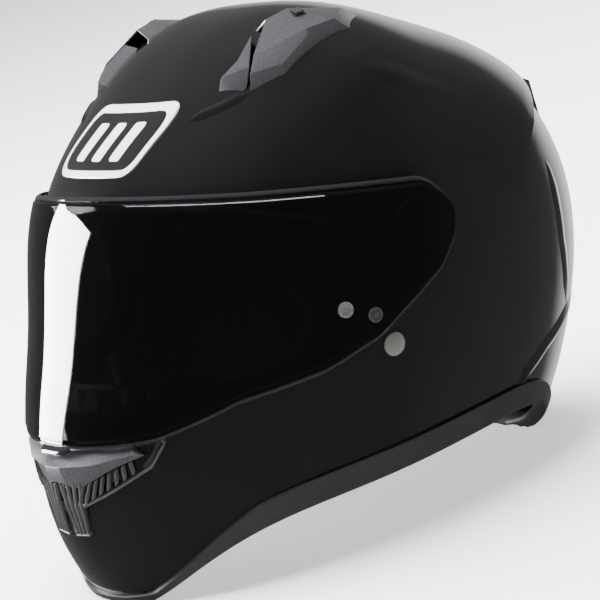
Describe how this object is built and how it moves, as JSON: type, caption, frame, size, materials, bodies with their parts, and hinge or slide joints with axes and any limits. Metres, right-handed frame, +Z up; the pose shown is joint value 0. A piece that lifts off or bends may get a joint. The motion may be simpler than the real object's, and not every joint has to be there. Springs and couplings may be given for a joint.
{
  "type": "full-face motorcycle helmet",
  "caption": "Full-face motorcycle helmet with a tinted flip-up visor, top, chin and rear vents, padded lining and a double D-ring chin strap.",
  "frame": {"origin": "on the table under the middle of the helmet's overall length and width", "axes": "+Z up, the face looks along -Y, the rider's left side is +X"},
  "size_m": [0.2634, 0.3401, 0.276],
  "materials": {
    "shell_gloss": "high-gloss black two-coat lacquer",
    "spoiler_gloss": "gloss black moulded plastic",
    "trim_rubber": "satin charcoal soft moulding",
    "vent_silver": "satin pearl silver-grey paint",
    "vent_dark": "matte dark moulded plastic",
    "filter_mesh": "black woven mesh",
    "visor_smoke": "dark smoke polycarbonate with a hard coat",
    "badge": null,
    "bright_steel": "polished plated steel",
    "plain_steel": "zinc-plated steel",
    "snap_plastic": "natural white moulded plastic",
    "eps_foam": "black moulded bead foam",
    "liner_fabric": "black brushed polyester over foam",
    "webbing": "black woven polyester webbing"
  },
  "bodies": {
    "helmet": {"outer_shell": "shell_gloss", "rear_vent_cover": "spoiler_gloss", "neck_trim": "trim_rubber", "eyeport_gasket": "trim_rubber", "breath_guard": "trim_rubber", "top_vent_left": "vent_silver", "top_vent_right": "vent_silver", "chin_vent_cover": "vent_silver", "chin_vent_grille": "vent_dark", "brow_plate": "vent_dark", "visor_latch": "vent_dark", "base_plate_left": "vent_dark", "base_plate_right": "vent_dark", "ratchet_ring_left": "vent_dark", "ratchet_ring_right": "vent_dark", "chin_vent_filter": "filter_mesh", "rear_vent_mesh": "filter_mesh", "front_badge": "badge", "strap_rivet_left": "bright_steel", "strap_rivet_right": "bright_steel", "strap_snap": "bright_steel", "strap_anchor_left": "plain_steel", "strap_anchor_right": "plain_steel", "lever_spring_left": "plain_steel", "lever_spring_right": "plain_steel", "base_screws": "plain_steel", "liner_snaps": "snap_plastic", "cheek_snaps": "snap_plastic", "cheek_plate_left": "snap_plastic", "cheek_plate_right": "snap_plastic", "eps_liner": "eps_foam", "chin_eps": "eps_foam", "crown_liner": "liner_fabric", "neck_roll": "liner_fabric", "cheek_pad_left": "liner_fabric", "cheek_pad_right": "liner_fabric", "strap_pad_left": "liner_fabric", "strap_pad_right": "liner_fabric", "chin_strap_left": "webbing", "chin_strap_right": "webbing"},
    "visor": {"visor": "visor_smoke", "visor_hub_left": "vent_dark", "visor_hub_right": "vent_dark"},
    "fog_pin_left": {"pinlock_pin_left": "bright_steel"},
    "fog_pin_right": {"pinlock_pin_right": "bright_steel"},
    "lever_left": {"release_lever_left": "vent_dark"},
    "lever_right": {"release_lever_right": "vent_dark"},
    "top_slider_left": {"top_vent_slider_left": "vent_dark"},
    "top_slider_right": {"top_vent_slider_right": "vent_dark"},
    "chin_slider": {"chin_vent_slider": "vent_dark"},
    "ring_inner": {"d_ring_inner": "bright_steel"},
    "ring_outer": {"d_ring_outer": "bright_steel"}
  },
  "joints": [
    {"name": "visor_hinge", "type": "hinge", "parent": "helmet", "child": "visor", "pos_m": [0, 0.008, 0.16], "axis": [-1, 0, 0], "range_deg": [0, 48]},
    {"name": "fog_pin_left_turn", "type": "hinge", "parent": "visor", "child": "fog_pin_left", "pos_m": [0.12339, -0.04448, 0.12937], "axis": [0.962, -0.2649, 0.0657], "range_deg": [-90, 90]},
    {"name": "fog_pin_right_turn", "type": "hinge", "parent": "visor", "child": "fog_pin_right", "pos_m": [-0.12339, -0.04448, 0.12937], "axis": [-0.962, -0.2649, 0.0657], "range_deg": [-90, 90]},
    {"name": "release_left_pull", "type": "slide", "parent": "helmet", "child": "lever_left", "axis": [0.0531, -0.0057, -0.9986], "range_m": [0, 0.004], "stiffness_N_per_m": 400, "springref_m": -0.001, "deforming": ["lever_spring_left"]},
    {"name": "top_slider_left_slide", "type": "slide", "parent": "helmet", "child": "top_slider_left", "axis": [0.0142, 0.9994, 0.0319], "range_m": [0, 0.007]},
    {"name": "release_right_pull", "type": "slide", "parent": "helmet", "child": "lever_right", "axis": [-0.0531, -0.0057, -0.9986], "range_m": [0, 0.004], "stiffness_N_per_m": 400, "springref_m": -0.001, "deforming": ["lever_spring_right"]},
    {"name": "top_slider_right_slide", "type": "slide", "parent": "helmet", "child": "top_slider_right", "axis": [-0.0142, 0.9994, 0.0319], "range_m": [0, 0.007]},
    {"name": "chin_slider_slide", "type": "slide", "parent": "helmet", "child": "chin_slider", "axis": [0, 0.309, 0.9511], "range_m": [0, 0.005]},
    {"name": "ring_inner_swing", "type": "hinge", "parent": "helmet", "child": "ring_inner", "pos_m": [0.058, -0.02, 0.048], "axis": [0, 1, 0], "range_deg": [-55, 3]},
    {"name": "ring_outer_swing", "type": "hinge", "parent": "helmet", "child": "ring_outer", "pos_m": [0.0505, -0.02, 0.048], "axis": [0, 1, 0], "range_deg": [-3, 55]}
  ]
}
